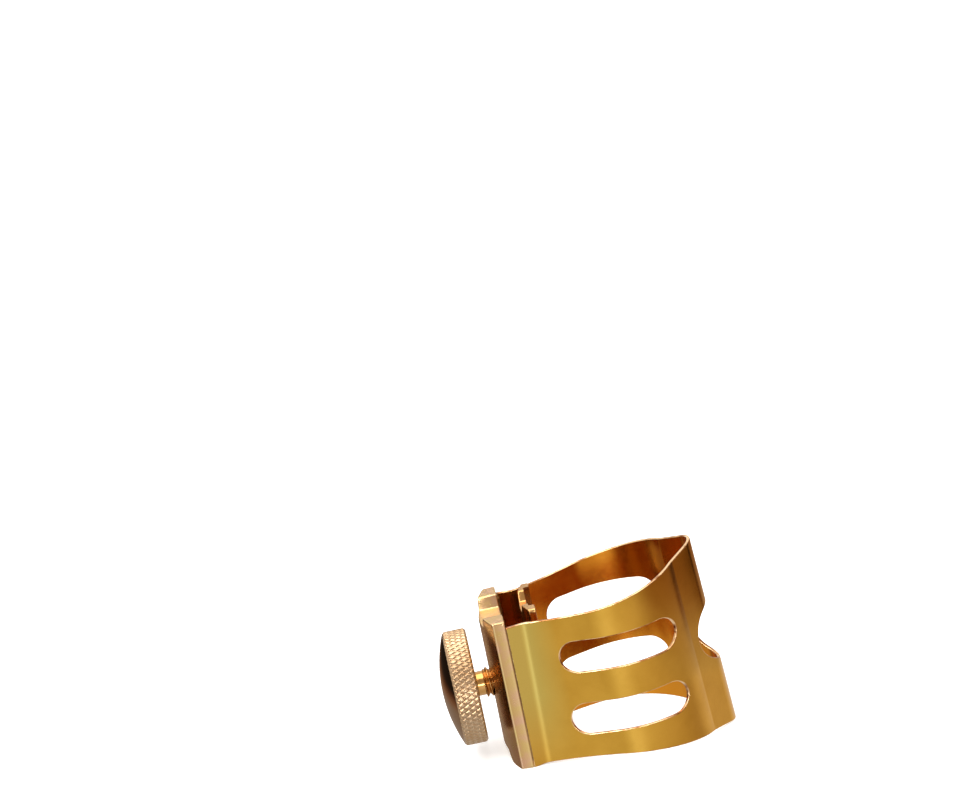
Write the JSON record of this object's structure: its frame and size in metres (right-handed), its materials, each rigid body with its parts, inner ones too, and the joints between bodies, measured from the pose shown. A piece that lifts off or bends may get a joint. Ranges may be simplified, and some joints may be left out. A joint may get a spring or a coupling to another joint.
{
  "type": "saxophone ligature",
  "caption": "Single-screw saxophone ligature: slotted sheet-metal band with a ridge channel, a bridge plate, a knurled thumbscrew and a swivelling pressure plate for the reed.",
  "frame": {"origin": "on the axis of the mouthpiece bore, where the screw's axis meets it", "axes": "+Z along the bore towards the narrower end of the band, +X towards the ridge channel, -X towards the thumbscrew"},
  "size_m": [0.0371, 0.0212, 0.0264],
  "materials": {
    "band_sheet": "gold plated, satin to polished",
    "bridge_bar": "gold plated, polished face and rough-cut edges",
    "plate_bar": "gold plated, polished",
    "head_knurl": "gold plated, diamond knurled rim and smooth dome",
    "stem_thread": "gold plated thread",
    "washer": "satin",
    "solder": "dull brazed fillet"
  },
  "bodies": {
    "ligature_frame": {"band": "band_sheet", "bridge_plate": "bridge_bar", "seam_front": "solder", "seam_rear": "solder"},
    "carriage": {"swivel_washer": "washer"},
    "thumbscrew": {"thumbscrew_head": "head_knurl", "screw_stem": "stem_thread"},
    "reed_plate": {"pressure_plate": "plate_bar"}
  },
  "joints": [
    {"name": "plate_feed", "type": "slide", "parent": "ligature_frame", "child": "carriage", "axis": [0.998, 0, -0.0628], "range_m": [-0.0024, 0.0019]},
    {"name": "screw_turn", "type": "hinge", "parent": "carriage", "child": "thumbscrew", "pos_m": [-0.01617, 0, 0.00102], "axis": [0.998, 0, -0.0628], "range_deg": [-1234, 977]},
    {"name": "plate_swivel", "type": "hinge", "parent": "carriage", "child": "reed_plate", "pos_m": [-0.01617, 0, 0.00102], "axis": [0.998, 0, -0.0628], "range_deg": [-6, 6]}
  ],
  "couplings": [
    {"joint": "plate_feed", "follows": "screw_turn", "m_per_rad": 0.00011141}
  ]
}
